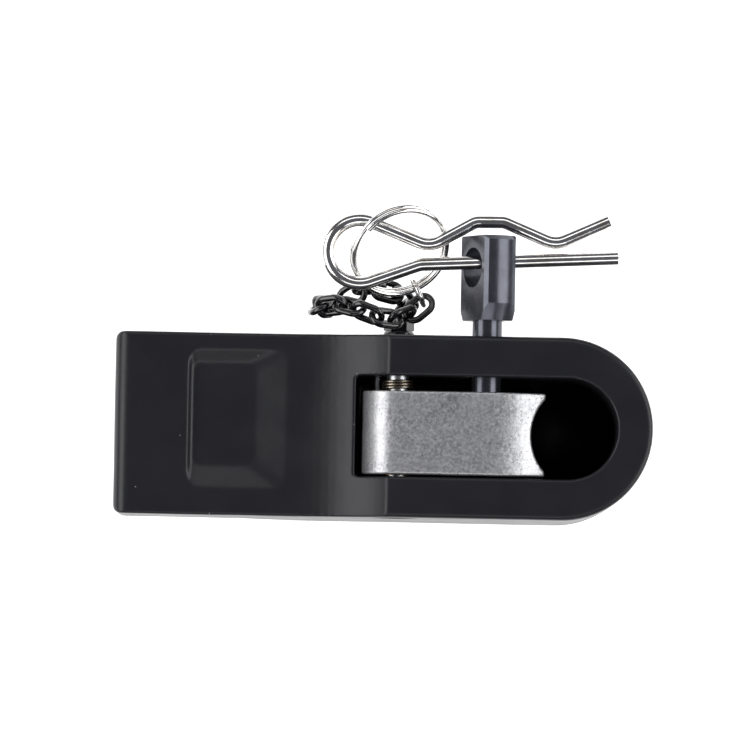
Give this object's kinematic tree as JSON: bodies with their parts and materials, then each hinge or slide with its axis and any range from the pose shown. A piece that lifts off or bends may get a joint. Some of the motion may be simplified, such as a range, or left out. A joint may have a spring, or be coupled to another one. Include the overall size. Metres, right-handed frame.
{
  "type": "catch hook quick coupler",
  "caption": "Weld-on catch hook for an implement ball, with a sprung pawl, release shaft with eye, spring clip, split ring and chain.",
  "frame": {"origin": "on the flat bottom, straight under the centre of the ball seat", "axes": "+X from the shank to the nose, +Y towards the release shaft, +Z out of the mouth"},
  "size_m": [0.1998, 0.1164, 0.088],
  "materials": {
    "black_coat": "satin black coating over a forged surface",
    "cast_steel": "bare blasted casting",
    "bronze": "plain bearing bronze",
    "zinc_steel": "zinc plated",
    "spring_steel": "oiled spring steel",
    "dark_steel": "black oxide",
    "bright_wire": "bright plated",
    "black_chain": "gloss black"
  },
  "bodies": {
    "hook": {"hook_body": "black_coat", "pivot_pin": "zinc_steel", "pivot_clip": "spring_steel", "pivot_washer": "zinc_steel", "spring_pin": "zinc_steel", "torsion_spring": "spring_steel", "anchor_link": "black_chain", "anchor_washer": "zinc_steel", "anchor_screw": "zinc_steel"},
    "pawl": {"pawl": "cast_steel", "pivot_bush": "bronze", "release_shaft": "dark_steel", "roll_pin": "spring_steel"},
    "clip": {"spring_clip": "bright_wire"},
    "chain": {"split_ring": "bright_wire", "chain_connector": "bright_wire", "chain_link_01": "black_chain", "chain_link_02": "black_chain", "chain_link_03": "black_chain", "chain_link_04": "black_chain", "chain_link_05": "black_chain", "chain_link_06": "black_chain", "chain_link_07": "black_chain", "chain_link_08": "black_chain", "chain_link_09": "black_chain", "chain_link_10": "black_chain", "chain_link_11": "black_chain", "chain_link_12": "black_chain", "chain_link_13": "black_chain", "chain_link_14": "black_chain"}
  },
  "joints": [
    {"name": "pawl_hinge", "type": "hinge", "parent": "hook", "child": "pawl", "pos_m": [-0.0592, 0, 0.0747], "axis": [0, 1, 0], "range_deg": [0, 43], "stiffness_Nm_per_rad": 0.5, "springref_deg": -60.16, "deforming": ["torsion_spring"]},
    {"name": "clip_swivel", "type": "hinge", "parent": "pawl", "child": "clip", "pos_m": [-0.0264, 0.06181, 0.0747], "axis": [0.9987, 0.0513, 0], "range_deg": [0, 18]},
    {"name": "ring_swing", "type": "hinge", "parent": "clip", "child": "chain", "pos_m": [-0.0762, 0.0609, 0.0747], "axis": [1, 0, 0], "range_deg": [0, 5]}
  ]
}
